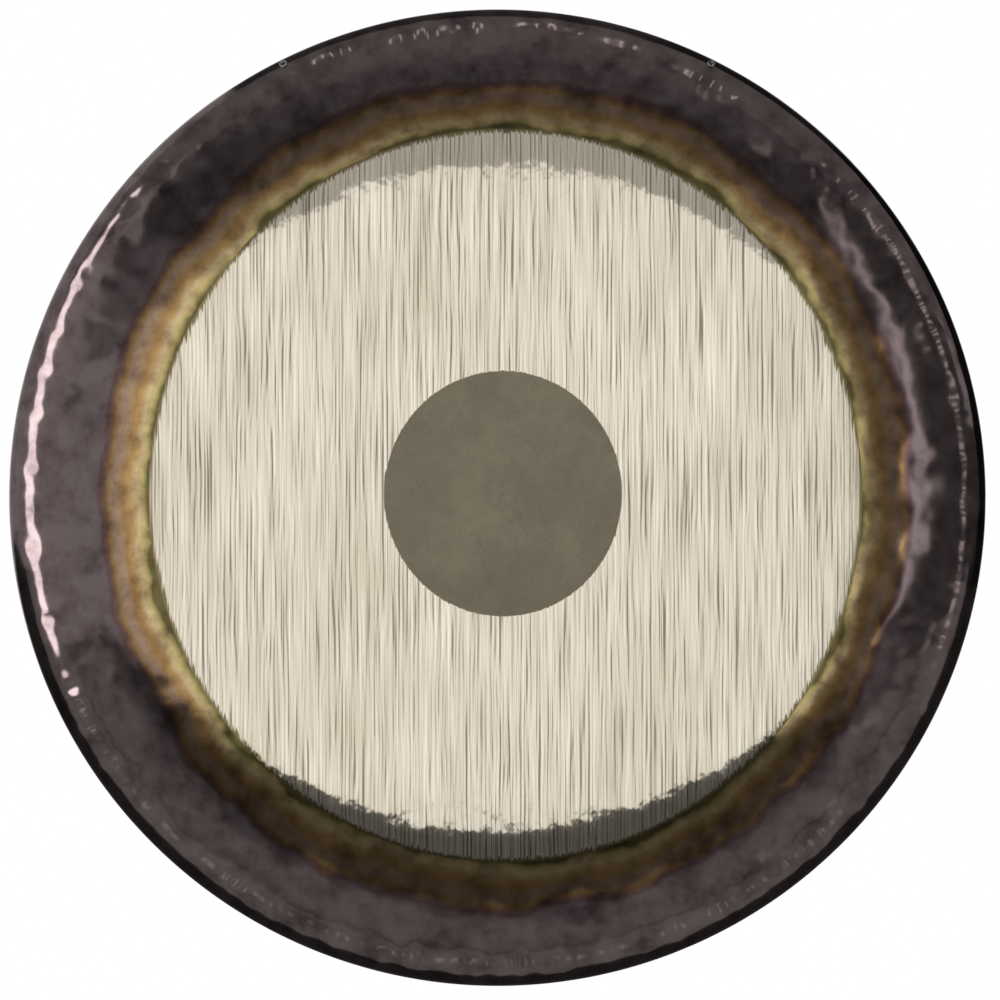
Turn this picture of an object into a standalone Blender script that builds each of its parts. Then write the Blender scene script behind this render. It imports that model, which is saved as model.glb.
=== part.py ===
"""Symphonic gong: one sheet of nickel silver, hammered and turned back at its rim, and two eyelets.

The gong hangs with its axis along Y and its playing face towards -Y, and +Z is up. The origin is the
middle of the line between the two cord holes, where the gong is held, so the gong's centre lies
below it. Each turned piece is drawn about its own Z axis, which points out of the face.
"""

import math

import bmesh
import bpy
from mathutils import Matrix

# The sheet
GONG_DIAMETER = 0.8128
SHEET_THICKNESS = 0.0016

# The front profile, from the middle outwards. A slope is the angle between the sheet and a flat disc.
# The field is the nearly flat middle, the shoulder falls away from it, and the bend turns the sheet
# back into the rim, which leans inwards by its taper.
FIELD_RADIUS = 0.276
FIELD_SLOPE = math.radians(1.0)
SHOULDER_INSET = 0.0275
SHOULDER_SLOPE = math.radians(12.0)
BEND_SLOPE = math.radians(30.0)
BEND_RADIUS = 0.012
RIM_LENGTH = 0.030
RIM_TAPER = math.radians(10.0)

# The finishes of the playing face end at these radii, and the rest is dark oxide.
CENTRE_DISC_RADIUS = 0.1003
BRUSHED_RADIUS = 0.302
TINTED_RADIUS = 0.345

# Each cord hole lies on the bend, this far round from the top, and its axis leans outwards.
CORD_HOLE_ANGLE = math.radians(26.25)
CORD_HOLE_LEAN = math.radians(36.0)

# The eyelet in each cord hole: a flange in front, a barrel through the sheet and a curl behind it
FLANGE_DIAMETER = 0.0070
FLANGE_THICKNESS = 0.0008
FLANGE_EDGE_RADIUS = 0.0004
BARREL_DIAMETER = 0.0046
BORE_DIAMETER = 0.0036
MOUTH_RADIUS = 0.0003
CURL_DIAMETER = 0.0060
CURL_THICKNESS = 0.0009
SEAT_GAP = 0.0003

# How finely the round shapes are divided, and how far a cutter passes each side of the sheet
GONG_STEPS = 96
FIELD_DIVISIONS = 3
SHOULDER_DIVISIONS = 5
ROLL_DIVISIONS = 3
BEND_DIVISIONS = 7
EYELET_STEPS = 32
EYELET_ARC_DIVISIONS = 3
CUTTER_OVERRUN = 0.003
MERGE_DISTANCE = 0.00002
SHARP_ANGLE = math.radians(40)

OUTER_RADIUS = GONG_DIAMETER / 2
BEND_CENTRE_RADIUS = OUTER_RADIUS - BEND_RADIUS
RIM_SLOPE = math.pi / 2 + RIM_TAPER
FINISH_BORDERS = (CENTRE_DISC_RADIUS, BRUSHED_RADIUS, TINTED_RADIUS)


def srgb(hex_colour):
    """Linear red, green and blue of an sRGB colour such as "C8BEA8"."""
    parts = [int(hex_colour[i : i + 2], 16) / 255 for i in (0, 2, 4)]
    return [c / 12.92 if c <= 0.04045 else ((c + 0.055) / 1.055) ** 2.4 for c in parts]


def metal(name, hex_colour, roughness):
    material = bpy.data.materials.new(name)
    material.use_nodes = True
    shader = material.node_tree.nodes["Principled BSDF"]
    shader.inputs["Base Color"].default_value = (*srgb(hex_colour), 1)
    shader.inputs["Metallic"].default_value = 1
    shader.inputs["Roughness"].default_value = roughness
    material.diffuse_color = (*srgb(hex_colour), 1)
    return material


def arc_outwards(start, radius, slope, divisions):
    """Points (radius, height, slope) of the arc from a start point out to a given radius and slope.

    Along an arc the sine of the slope grows evenly with the radius. Every border between finishes
    that the arc crosses becomes one of its points.
    """
    run = radius - start[0]
    arc_radius = run / (math.sin(slope) - math.sin(start[2]))
    stops = {start[0] + run * step / divisions for step in range(1, divisions + 1)}
    stops |= {border for border in FINISH_BORDERS if start[0] < border < radius}
    points = []
    for stop in sorted(stops):
        sine = math.sin(start[2]) + (stop - start[0]) / arc_radius
        angle = math.asin(sine)
        height = start[1] - arc_radius * (math.cos(start[2]) - math.cos(angle))
        points.append((stop, height, angle))
    return points


def front_line():
    """Points (radius, height, slope) of the sheet's outside, from the middle to the rim's rear edge."""
    line = [(0.0, 0.0, 0.0)]
    line += arc_outwards(line[-1], FIELD_RADIUS, FIELD_SLOPE, FIELD_DIVISIONS)
    shoulder_end = OUTER_RADIUS - SHOULDER_INSET
    line += arc_outwards(line[-1], shoulder_end, SHOULDER_SLOPE, SHOULDER_DIVISIONS)
    bend_start = BEND_CENTRE_RADIUS + BEND_RADIUS * math.sin(BEND_SLOPE)
    line += arc_outwards(line[-1], bend_start, BEND_SLOPE, ROLL_DIVISIONS)
    bend_centre_height = line[-1][1] - BEND_RADIUS * math.cos(BEND_SLOPE)
    for step in range(1, BEND_DIVISIONS + 1):
        slope = BEND_SLOPE + (RIM_SLOPE - BEND_SLOPE) * step / BEND_DIVISIONS
        line.append(on_bend(bend_centre_height, slope))
    radius, height, slope = line[-1]
    rear_radius = radius + RIM_LENGTH * math.cos(slope)
    rear_height = height - RIM_LENGTH * math.sin(slope)
    line.append((rear_radius, rear_height, slope))
    return line, bend_centre_height


def on_bend(bend_centre_height, slope):
    """The point (radius, height, slope) of the bend's outside where the sheet has this slope."""
    radius = BEND_CENTRE_RADIUS + BEND_RADIUS * math.sin(slope)
    return radius, bend_centre_height + BEND_RADIUS * math.cos(slope), slope


def sheet_profile(line):
    """The sheet's cut edge: down the outside, across the flat rear edge and back up the inside."""
    outside = [(radius, height) for radius, height, _ in line]
    inside = [
        (radius - SHEET_THICKNESS * math.sin(slope), height - SHEET_THICKNESS * math.cos(slope))
        for radius, height, slope in line
    ]
    rear_radius, rear_height, rear_slope = line[-1]
    inside[0] = (0.0, -SHEET_THICKNESS)
    inside[-1] = (rear_radius - SHEET_THICKNESS / math.sin(rear_slope), rear_height)
    return outside + inside[::-1]


def rounded_corner(centre, radius, start):
    """Points of a quarter circle that turns clockwise from an angle, in (radius, height)."""
    points = []
    for step in range(EYELET_ARC_DIVISIONS + 1):
        angle = start - math.pi / 2 * step / EYELET_ARC_DIVISIONS
        points.append((centre[0] + radius * math.cos(angle), centre[1] + radius * math.sin(angle)))
    return points


def eyelet_profile():
    """The eyelet's cut edge as a closed loop, with height 0 on the outside of the sheet.

    The sheet is hollow behind the bend and rises towards the curl, so the curl sits further off by
    the height of the bend's inside over the curl's radius.
    """
    bore = BORE_DIAMETER / 2
    barrel = BARREL_DIAMETER / 2
    flange = FLANGE_DIAMETER / 2
    curl = CURL_DIAMETER / 2
    inside_bend = BEND_RADIUS - SHEET_THICKNESS
    curl_rise = inside_bend - math.sqrt(inside_bend**2 - curl**2)
    top = SEAT_GAP + FLANGE_THICKNESS
    curl_top = -SHEET_THICKNESS - SEAT_GAP - curl_rise
    bottom = curl_top - CURL_THICKNESS
    edge = FLANGE_EDGE_RADIUS
    quarter = math.pi / 2
    return (
        rounded_corner((flange - edge, top - edge), edge, quarter)
        + [(flange, SEAT_GAP), (barrel, SEAT_GAP), (barrel, curl_top), (curl, curl_top)]
        + rounded_corner((curl - edge, bottom + edge), edge, 0)
        + rounded_corner((bore + MOUTH_RADIUS, bottom + MOUTH_RADIUS), MOUTH_RADIUS, -quarter)
        + rounded_corner((bore + MOUTH_RADIUS, top - MOUTH_RADIUS), MOUTH_RADIUS, math.pi)
    )


def turned(name, profile, steps, closed, collection, parent, place):
    """An object whose profile of (radius, height) points is turned about its own Z axis."""
    count = len(profile)
    edges = [(i, (i + 1) % count) for i in range(count if closed else count - 1)]
    mesh = bpy.data.meshes.new(name)
    mesh.from_pydata([(radius, 0, height) for radius, height in profile], edges, [])
    obj = bpy.data.objects.new(name, mesh)
    screw = obj.modifiers.new("turn", "SCREW")
    screw.steps = screw.render_steps = steps
    screw.use_merge_vertices = True
    screw.merge_threshold = MERGE_DISTANCE
    collection.objects.link(obj)
    obj.parent = parent
    obj.matrix_basis = place
    return obj


def freeze(obj):
    """Gives an object the mesh that its modifiers make, with its sharp edges marked."""
    graph = bpy.context.evaluated_depsgraph_get()
    mesh = bpy.data.meshes.new_from_object(obj.evaluated_get(graph))
    obj.modifiers.clear()
    obj.data = mesh
    mesh.name = obj.name
    mesh.shade_smooth()
    mesh.set_sharp_from_angle(angle=SHARP_ANGLE)


def paint_finishes(sheet):
    """Gives the playing face its rings of finish. The rim and the whole back are dark oxide."""
    finishes = (
        metal("centre_disc_oxide", "70685A", 0.45),
        metal("brushed_nickel_silver", "DCD2BD", 0.35),
        metal("heat_tinted_nickel_silver", "8A6A38", 0.25),
        metal("dark_oxide", "4A4044", 0.22),
    )
    for finish in finishes:
        sheet.data.materials.append(finish)
    for face in sheet.data.polygons:
        reach = math.hypot(face.center.x, face.center.y)
        inner_finishes = sum(reach > border for border in FINISH_BORDERS)
        in_front = face.normal.z > 0
        face.material_index = inner_finishes if in_front else len(FINISH_BORDERS)


def cord_hole_place(bend_centre_height, side):
    """Places a piece with its Z axis along a cord hole, at the outside of the sheet."""
    radius, height, _ = on_bend(bend_centre_height, CORD_HOLE_LEAN)
    round_the_gong = Matrix.Rotation(-side * CORD_HOLE_ANGLE, 4, "Z")
    out_to_the_hole = Matrix.Translation((0, radius, height))
    return round_the_gong @ out_to_the_hole @ Matrix.Rotation(-CORD_HOLE_LEAN, 4, "X")


def cord_hole_cutter(name, collection, parent, place):
    """A round bar through the sheet that leaves the eyelet's barrel its clearance."""
    radius = BARREL_DIAMETER / 2 + SEAT_GAP
    depth = SHEET_THICKNESS + 2 * CUTTER_OVERRUN
    mesh = bpy.data.meshes.new(name)
    bar = bmesh.new()
    bmesh.ops.create_cone(
        bar,
        cap_ends=True,
        segments=EYELET_STEPS,
        radius1=radius,
        radius2=radius,
        depth=depth,
        matrix=Matrix.Translation((0, 0, -SHEET_THICKNESS / 2)),
    )
    bar.to_mesh(mesh)
    bar.free()
    obj = bpy.data.objects.new(name, mesh)
    obj.hide_render = True
    obj.display_type = "WIRE"
    collection.objects.link(obj)
    obj.parent = parent
    obj.matrix_basis = place
    return obj


def clear_scene():
    for obj in list(bpy.data.objects):
        bpy.data.objects.remove(obj, do_unlink=True)


def new_collection(name):
    collection = bpy.data.collections.new(name)
    bpy.context.scene.collection.children.link(collection)
    return collection


def gong_axis(collection, bend_centre_height):
    """An empty at the middle of the playing face that turns the pieces' Z axis to face -Y.

    It is placed so that the two cord holes, at the outside of the sheet, lie level with the origin.
    """
    hole_radius, hole_height, _ = on_bend(bend_centre_height, CORD_HOLE_LEAN)
    axis = bpy.data.objects.new("gong_axis", None)
    axis.location = (0, hole_height, -hole_radius * math.cos(CORD_HOLE_ANGLE))
    axis.rotation_euler = (math.pi / 2, 0, 0)
    collection.objects.link(axis)
    return axis


def main():
    clear_scene()
    parts = new_collection("symphonic_gong")
    cutters = new_collection("cutters")
    line, bend_centre_height = front_line()
    axis = gong_axis(parts, bend_centre_height)

    profile = sheet_profile(line)
    sheet = turned("gong_body", profile, GONG_STEPS, False, parts, axis, Matrix())
    freeze(sheet)
    paint_finishes(sheet)

    nickel_plate = metal("nickel_plated_eyelet", "B4B0AA", 0.2)
    for side, side_name in ((-1, "left"), (1, "right")):
        place = cord_hole_place(bend_centre_height, side)
        cutter = cord_hole_cutter(f"cord_hole_{side_name}", cutters, axis, place)
        hole = sheet.modifiers.new(f"cord_hole_{side_name}", "BOOLEAN")
        hole.object = cutter
        name = f"suspension_eyelet_{side_name}"
        eyelet = turned(name, eyelet_profile(), EYELET_STEPS, True, parts, axis, place)
        freeze(eyelet)
        eyelet.data.materials.append(nickel_plate)


main()
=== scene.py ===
# %% [markdown]
# # Symphonic gong
#
# A symphonic gong is one sheet of nickel silver, about 1.6 mm thick, that was hammered into a flat
# dish and turned back at the rim. Fire leaves dark oxide on it, and brushing takes that oxide off the
# middle again. The lesson makes the hammered sheet, then its two cord eyelets, then each finish, and
# last the studio around it. The engineering model is loaded first, as the frame that fixes every size.

# %% Load the frame
import math

import bmesh
import bpy
import numpy as np
from mathutils import Matrix, Vector


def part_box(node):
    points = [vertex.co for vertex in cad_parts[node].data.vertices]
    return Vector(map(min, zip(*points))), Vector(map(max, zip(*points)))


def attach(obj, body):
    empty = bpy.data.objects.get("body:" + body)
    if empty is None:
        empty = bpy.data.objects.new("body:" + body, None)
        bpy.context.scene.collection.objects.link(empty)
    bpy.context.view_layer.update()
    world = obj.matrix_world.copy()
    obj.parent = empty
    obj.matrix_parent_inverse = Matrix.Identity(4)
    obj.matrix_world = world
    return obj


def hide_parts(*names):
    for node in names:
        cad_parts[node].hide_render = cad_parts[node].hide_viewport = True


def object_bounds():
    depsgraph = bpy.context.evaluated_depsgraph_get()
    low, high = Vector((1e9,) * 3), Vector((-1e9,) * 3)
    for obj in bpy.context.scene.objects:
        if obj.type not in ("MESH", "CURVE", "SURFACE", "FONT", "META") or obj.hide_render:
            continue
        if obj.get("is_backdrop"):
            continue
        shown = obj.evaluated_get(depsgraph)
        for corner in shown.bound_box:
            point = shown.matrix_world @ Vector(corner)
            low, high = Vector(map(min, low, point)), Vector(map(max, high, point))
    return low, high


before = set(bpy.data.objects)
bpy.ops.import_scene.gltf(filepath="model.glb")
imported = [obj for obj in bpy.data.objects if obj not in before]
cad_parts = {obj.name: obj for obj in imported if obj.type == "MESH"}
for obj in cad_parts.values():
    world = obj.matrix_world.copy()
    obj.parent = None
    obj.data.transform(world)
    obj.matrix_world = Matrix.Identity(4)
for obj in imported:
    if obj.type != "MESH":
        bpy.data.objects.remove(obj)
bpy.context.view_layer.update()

# %% [markdown]
# ## Driving dimensions
#
# The diameter and the depth are read from the frame. The rest are the sheet's own sizes, in metres.
# The gong hangs with its playing face towards -Y, so heights above the face are counted along -Y.

# %% Sizes of the sheet
MM = 0.001
sheet_low, sheet_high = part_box("gong_body")
OUTER_RADIUS = (sheet_high.x - sheet_low.x) / 2
CENTRE_Z = (sheet_high.z + sheet_low.z) / 2
FACE_Y = sheet_low.y
REAR_Y = sheet_high.y
SHEET = 1.6 * MM
FIELD_RADIUS = 276 * MM
SHOULDER_RADIUS = OUTER_RADIUS - 27.5 * MM
BEND_RADIUS = 12 * MM
BEND_CENTRE = OUTER_RADIUS - BEND_RADIUS
FIELD_SLOPE, SHOULDER_SLOPE, BEND_SLOPE, RIM_SLOPE = np.radians([1.0, 12.0, 30.0, 100.0])
ROLL_RADIUS = BEND_CENTRE + BEND_RADIUS * math.sin(BEND_SLOPE)
print(f"gong {2000 * OUTER_RADIUS:.1f} mm across, face at y = {1000 * FACE_Y:.1f} mm")

# %% [markdown]
# The finishes were brushed and masked by hand, so the plain disc and the brushed field are slightly
# oval and lie off the gong's centre. Each is an ellipse, given by its offset and its half axes along X
# and Z. From TRUE_FROM outwards the sheet's rings are true circles again.

# %% Borders of the finishes
DISC_OFFSET, DISC_AXES = (4.67 * MM, 3.25 * MM), (97.98 * MM, 101.1 * MM)
BRUSHED_OFFSET, BRUSHED_AXES = (6.66 * MM, 1.77 * MM), (294.9 * MM, 303.1 * MM)
DISC_MEAN = sum(DISC_AXES) / 2
BRUSHED_MEAN = sum(BRUSHED_AXES) / 2
TRUE_FROM = 345 * MM
PAST_RIM = 1.0
TURN_STEPS = 720


# %% [markdown]
# ## The sheet's profile
#
# The front is a chain of arcs: a nearly flat field, a shoulder, a roll and the bend. Along an arc the
# sine of the slope grows evenly with the radius, which gives both height and slope in closed form.

# %% Profile of the dish
def arc_height(radius, start, start_slope, end, end_slope):
    """Drop and slope along one arc.

    sin(slope) = sin(start slope) + (radius - start) / R, and the drop from the start is
    R (cos(start slope) - cos(slope)), where R = (end - start) / (sin(end slope) - sin(start slope)).
    """
    arc_radius = (end - start) / (math.sin(end_slope) - math.sin(start_slope))
    sine = math.sin(start_slope) + (np.clip(radius, start, end) - start) / arc_radius
    slope = np.arcsin(sine)
    return arc_radius * (math.cos(start_slope) - np.cos(slope)), slope


def dish(radius):
    """Height (0 or less) and slope of the front at a radius, as the sum of the three arcs' drops."""
    field, field_slope = arc_height(radius, 0.0, 0.0, FIELD_RADIUS, FIELD_SLOPE)
    shoulder, shoulder_slope = arc_height(
        radius, FIELD_RADIUS, FIELD_SLOPE, SHOULDER_RADIUS, SHOULDER_SLOPE
    )
    roll, roll_slope = arc_height(radius, SHOULDER_RADIUS, SHOULDER_SLOPE, ROLL_RADIUS, BEND_SLOPE)
    slope = np.where(radius < FIELD_RADIUS, field_slope, shoulder_slope)
    slope = np.where(radius < SHOULDER_RADIUS, slope, roll_slope)
    return -(field + shoulder + roll), slope


BEND_HEIGHT = float(dish(np.array(ROLL_RADIUS))[0]) - BEND_RADIUS * math.cos(BEND_SLOPE)
REAR_HEIGHT = FACE_Y - REAR_Y
print(f"bend centre {1000 * BEND_HEIGHT:.2f} mm behind the face, rear edge {1000 * REAR_HEIGHT:.2f} mm")

# %% [markdown]
# ## Hammer marks
#
# A gong is tuned with the hammer, and each blow leaves a shallow dent. They stand in rings near the
# rim, where the smith works round and round, and wander over the field. A bump map could fake them,
# but then a mesh exported from here would be smooth, so they are real depths: a sum of soft
# Gaussian dents, most of them a little longer towards the rim than across. The sheet is thin, so both
# its sides take the same dents.

# %% Dents
random = np.random.default_rng(7)


def ring_of_dents(radius, count, along, across, depth, wander):
    """Rows of (radius, angle, length along the radius, width across, depth) for one ring of blows."""
    turn = (np.arange(count) + random.uniform(-wander, wander, count)) * 2 * np.pi / count
    return np.column_stack(
        [
            radius + random.normal(0, wander * along, count),
            turn,
            along * random.uniform(0.7, 1.3, count),
            across * random.uniform(0.7, 1.3, count),
            depth * random.uniform(0.2, 1.8, count),
        ]
    )


def scattered_dents(inner, outer, count, size, depth):
    """The same rows for blows scattered evenly by area between two radii."""
    radius = np.sqrt(random.uniform(inner**2, outer**2, count))
    width = size * random.uniform(0.6, 1.5, count)
    turn = random.uniform(0, 2 * np.pi, count)
    return np.column_stack([radius, turn, width, width, depth * random.uniform(-1, 1, count)])


DENTS = np.vstack(
    [
        ring_of_dents(0.955 * OUTER_RADIUS, 130, 6 * MM, 3.8 * MM, 0.36 * MM, 0.35),
        ring_of_dents(0.925 * OUTER_RADIUS, 88, 11 * MM, 5 * MM, 0.16 * MM, 0.3),
        ring_of_dents(0.870 * OUTER_RADIUS, 44, 14 * MM, 13 * MM, 0.30 * MM, 0.35),
        ring_of_dents(0.790 * OUTER_RADIUS, 36, 13 * MM, 15 * MM, 0.07 * MM, 0.4),
        scattered_dents(0.03, 0.30, 90, 24 * MM, 0.035 * MM),
        scattered_dents(0.32, 0.39, 36, 10 * MM, 0.22 * MM),
    ]
)


def dent_depth(radius, turn):
    """Sum of Gaussians: depth * exp(-(dr / along)^2 / 2 - (r dturn / across)^2 / 2), one per blow."""
    total = np.zeros_like(radius)
    for dent_radius, dent_turn, along, across, depth in DENTS:
        out = (radius - dent_radius) / along
        around = (turn - dent_turn + np.pi) % (2 * np.pi) - np.pi
        around = around * dent_radius / across
        total -= depth * np.exp(-0.5 * (out**2 + around**2))
    return total


print(len(DENTS), "hammer marks, deepest", round(1000 * DENTS[:, 4].max(), 2), "mm")


# %% [markdown]
# ## The hammered sheet
#
# The sheet could be a turned profile, but the rings of faces have to follow the oval finishes, so the
# surface is a grid worked out as arrays: one direction is the turn round the gong, and the other runs
# from the middle of the face over the bend and rim, and back inside to the middle of the back. The
# front's rings come first.

# %% Grid of the front
def even_rings(start, end, count):
    """Ring positions after the start, up to and with the end."""
    return np.linspace(start, end, count + 1)[1:]


def front_grid(rings, turn, on_finishes):
    """X, Z, height and slope of the dish on rings that follow the oval finishes.

    A ring's offset and half axes run evenly from those of the plain disc to those of the brushed
    field, and from there to a true circle: x = offset + half axis * sin(turn), and z alike with cos.
    """
    stations = [0.0, DISC_MEAN, BRUSHED_MEAN, TRUE_FROM, PAST_RIM]
    x_offset = [DISC_OFFSET[0], DISC_OFFSET[0], BRUSHED_OFFSET[0], 0.0, 0.0]
    z_offset = [DISC_OFFSET[1], DISC_OFFSET[1], BRUSHED_OFFSET[1], 0.0, 0.0]
    x_axis = [0.0, DISC_AXES[0], BRUSHED_AXES[0], TRUE_FROM, PAST_RIM]
    z_axis = [0.0, DISC_AXES[1], BRUSHED_AXES[1], TRUE_FROM, PAST_RIM]
    if on_finishes:
        centres = [np.interp(rings, stations, column)[:, None] for column in (x_offset, z_offset)]
        axes = [np.interp(rings, stations, column)[:, None] for column in (x_axis, z_axis)]
    else:
        centres = [0.0, 0.0]
        axes = [rings[:, None], rings[:, None]]
    x = centres[0] + axes[0] * np.sin(turn)
    z = centres[1] + axes[1] * np.cos(turn)
    height, slope = dish(np.hypot(x, z))
    return x, z, height, slope


print("rings across the bare metal:", np.round(even_rings(DISC_MEAN, BRUSHED_MEAN, 24) / MM)[:4], "mm")

# %% [markdown]
# The bend and the rim behind it are true circles. The bend could have been a Bevel, but its arc has to
# meet the dish at one slope and the rim at another, so it is swept from the first to the second.

# %% Grid of the bend and rim
def bend_grid(slopes, turn):
    """The bend: radius = bend centre + bend radius * sin(slope), height alike with cos."""
    radius = BEND_CENTRE + BEND_RADIUS * np.sin(slopes)[:, None]
    height = BEND_HEIGHT + BEND_RADIUS * np.cos(slopes)[:, None] + 0 * turn
    return radius * np.sin(turn), radius * np.cos(turn), height, slopes[:, None] + 0 * turn


def rim_grid(depths, turn):
    """The straight rim behind the bend, at its own slope, down to each depth."""
    start_radius = BEND_CENTRE + BEND_RADIUS * math.sin(RIM_SLOPE)
    start_height = BEND_HEIGHT + BEND_RADIUS * math.cos(RIM_SLOPE)
    height = start_height + depths[:, None] * (REAR_HEIGHT - start_height) + 0 * turn
    radius = start_radius + (start_height - height) / math.tan(RIM_SLOPE)
    return radius * np.sin(turn), radius * np.cos(turn), height, RIM_SLOPE + 0 * height


print("the rim leans", round(math.degrees(RIM_SLOPE) - 90), "degrees inwards")

# %% [markdown]
# The outside and the inside are the same grids, the inside sunk by the sheet's thickness, which a
# Solidify modifier would also do, but with faces as small at the back as at the front. Both are moved
# by the hammer marks. The point of the compasses that drew the disc left a small prick in its middle.

# %% Both sides of the sheet
PRICK_DEPTH = 0.25 * MM
PRICK_RINGS = np.array([0.8, 1.6, 3.0, 6.0]) * MM


def on_side(grids, turn, depth_below):
    """World points of stacked grids, sunk below the outside by a thickness along the normal.

    A point is moved by dent depth minus thickness along (sin(slope) outwards, cos(slope) forwards).
    """
    x, z, height, slope = (np.vstack(parts) for parts in zip(*grids))
    radius = np.maximum(np.hypot(x, z), 1e-9)
    shift = dent_depth(radius, np.arctan2(x, z) + 0 * turn) - depth_below
    x = x + shift * np.sin(slope) * x / radius
    z = z + shift * np.sin(slope) * z / radius
    height = height + shift * np.cos(slope)
    return np.stack([x, FACE_Y - height, z + CENTRE_Z], axis=-1)


def sheet_points():
    """All rings of the closed sheet, from the ring next to the front pole to that of the back pole."""
    turn = np.linspace(0, 2 * np.pi, TURN_STEPS, endpoint=False)[None, :]
    front = [
        PRICK_RINGS,
        even_rings(PRICK_RINGS[-1], DISC_MEAN, 6),
        even_rings(DISC_MEAN, BRUSHED_MEAN, 24),
        even_rings(BRUSHED_MEAN, SHOULDER_RADIUS, 30),
        even_rings(SHOULDER_RADIUS, ROLL_RADIUS, 12),
    ]
    back = [
        even_rings(0.0, FIELD_RADIUS, 9),
        even_rings(FIELD_RADIUS, SHOULDER_RADIUS, 14),
        even_rings(SHOULDER_RADIUS, ROLL_RADIUS, 5),
    ]
    outside = on_side(
        [
            front_grid(np.concatenate(front), turn, True),
            bend_grid(even_rings(BEND_SLOPE, RIM_SLOPE, 14), turn),
            rim_grid(even_rings(0.0, 1.0, 5), turn),
        ],
        turn,
        0.0,
    )
    inside = on_side(
        [
            front_grid(np.concatenate(back), turn, False),
            bend_grid(even_rings(BEND_SLOPE, RIM_SLOPE, 8), turn),
            rim_grid(even_rings(0.0, 1.0, 3), turn),
        ],
        turn,
        SHEET,
    )
    outside[-1, :, 1] = REAR_Y
    inside[-1, :, 1] = REAR_Y
    return np.concatenate([outside, inside[::-1]])


rings = sheet_points()
print(len(rings), "rings of", TURN_STEPS, "points")

# %% [markdown]
# The rings become one closed mesh: quads between neighbours, and a fan of triangles at each middle.

# %% Mesh of the sheet
def closed_from_rings(name, rings, front_pole, back_pole):
    """A closed mesh of rings joined by quads, with a fan of triangles at each pole."""
    ring_count, steps = rings.shape[:2]
    points = np.concatenate([rings.reshape(-1, 3), [front_pole, back_pole]])
    first = np.arange(steps)
    after = (first + 1) % steps
    row = np.arange(ring_count - 1)[:, None] * steps
    quads = np.stack([row + first, row + first + steps, row + after + steps, row + after], -1)
    last = (ring_count - 1) * steps
    front = np.stack([np.full(steps, len(points) - 2), first, after], -1)
    back = np.stack([np.full(steps, len(points) - 1), last + after, last + first], -1)
    mesh = bpy.data.meshes.new(name)
    mesh.from_pydata(points, [], front.tolist() + quads.reshape(-1, 4).tolist() + back.tolist())
    mesh.update()
    return mesh


def face_outwards(mesh):
    """Turns a closed mesh's faces outwards."""
    work = bmesh.new()
    work.from_mesh(mesh)
    bmesh.ops.recalc_face_normals(work, faces=work.faces)
    work.to_mesh(mesh)
    work.free()
    mesh.update()


def add_piece(name, mesh):
    """An object at the origin whose place is in its mesh."""
    piece = bpy.data.objects.new(name, mesh)
    bpy.context.scene.collection.objects.link(piece)
    return piece


middle = (DISC_OFFSET[0], FACE_Y + PRICK_DEPTH, CENTRE_Z + DISC_OFFSET[1])
rear_middle = (0.0, FACE_Y + SHEET, CENTRE_Z)
sheet_mesh = closed_from_rings("hammered_gong", rings, middle, rear_middle)
face_outwards(sheet_mesh)
gong = add_piece("hammered_gong", sheet_mesh)
print(gong.name, "has", len(sheet_mesh.polygons), "faces")


# %% [markdown]
# ## Cord holes and eyelets
#
# The gong hangs on a cord through two holes in the bend. Each is lined with a small nickel-plated
# eyelet, so that the sheet's edge can't cut the cord. An eyelet is a turned piece: a flange outside, a
# barrel through the hole and a curl inside. Its cut edge is a closed loop of radius and height.

# %% Cut edge of an eyelet
HOLE_TURN = math.radians(26.25)
HOLE_LEAN = math.radians(36.0)
BORE, BARREL, FLANGE, CURL = (width * MM / 2 for width in (3.6, 4.6, 7.0, 6.0))
FLANGE_THICK, CURL_THICK, SEAT_GAP = 0.8 * MM, 0.9 * MM, 0.3 * MM
EDGE_ROUND, MOUTH_ROUND = 0.4 * MM, 0.3 * MM
ROUND_STEPS = 8


def quarter(centre_radius, centre_height, size, start):
    """A quarter circle that turns clockwise from an angle, as rows of (radius, height)."""
    angle = start - np.linspace(0, np.pi / 2, ROUND_STEPS)
    return np.column_stack(
        [centre_radius + size * np.cos(angle), centre_height + size * np.sin(angle)]
    )


def eyelet_edge():
    """The eyelet's cut edge, with height 0 on the outside of the sheet."""
    hollow = BEND_RADIUS - SHEET
    top = SEAT_GAP + FLANGE_THICK
    curl_top = -SHEET - SEAT_GAP - (hollow - math.sqrt(hollow**2 - CURL**2))
    bottom = curl_top - CURL_THICK
    square = [[FLANGE, SEAT_GAP], [BARREL, SEAT_GAP], [BARREL, curl_top], [CURL, curl_top]]
    return np.vstack(
        [
            quarter(FLANGE - EDGE_ROUND, top - EDGE_ROUND, EDGE_ROUND, np.pi / 2),
            square,
            quarter(CURL - EDGE_ROUND, bottom + EDGE_ROUND, EDGE_ROUND, 0.0),
            quarter(BORE + MOUTH_ROUND, bottom + MOUTH_ROUND, MOUTH_ROUND, -np.pi / 2),
            quarter(BORE + MOUTH_ROUND, top - MOUTH_ROUND, MOUTH_ROUND, np.pi),
        ]
    )


print("cut edge of an eyelet:", len(eyelet_edge()), "points")

# %% [markdown]
# The edge is carried round the hole's own axis, which leans outwards with the bend.

# %% Eyelets
EYELET_STEPS = 72
SHARP_ANGLE = math.radians(40)


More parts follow.
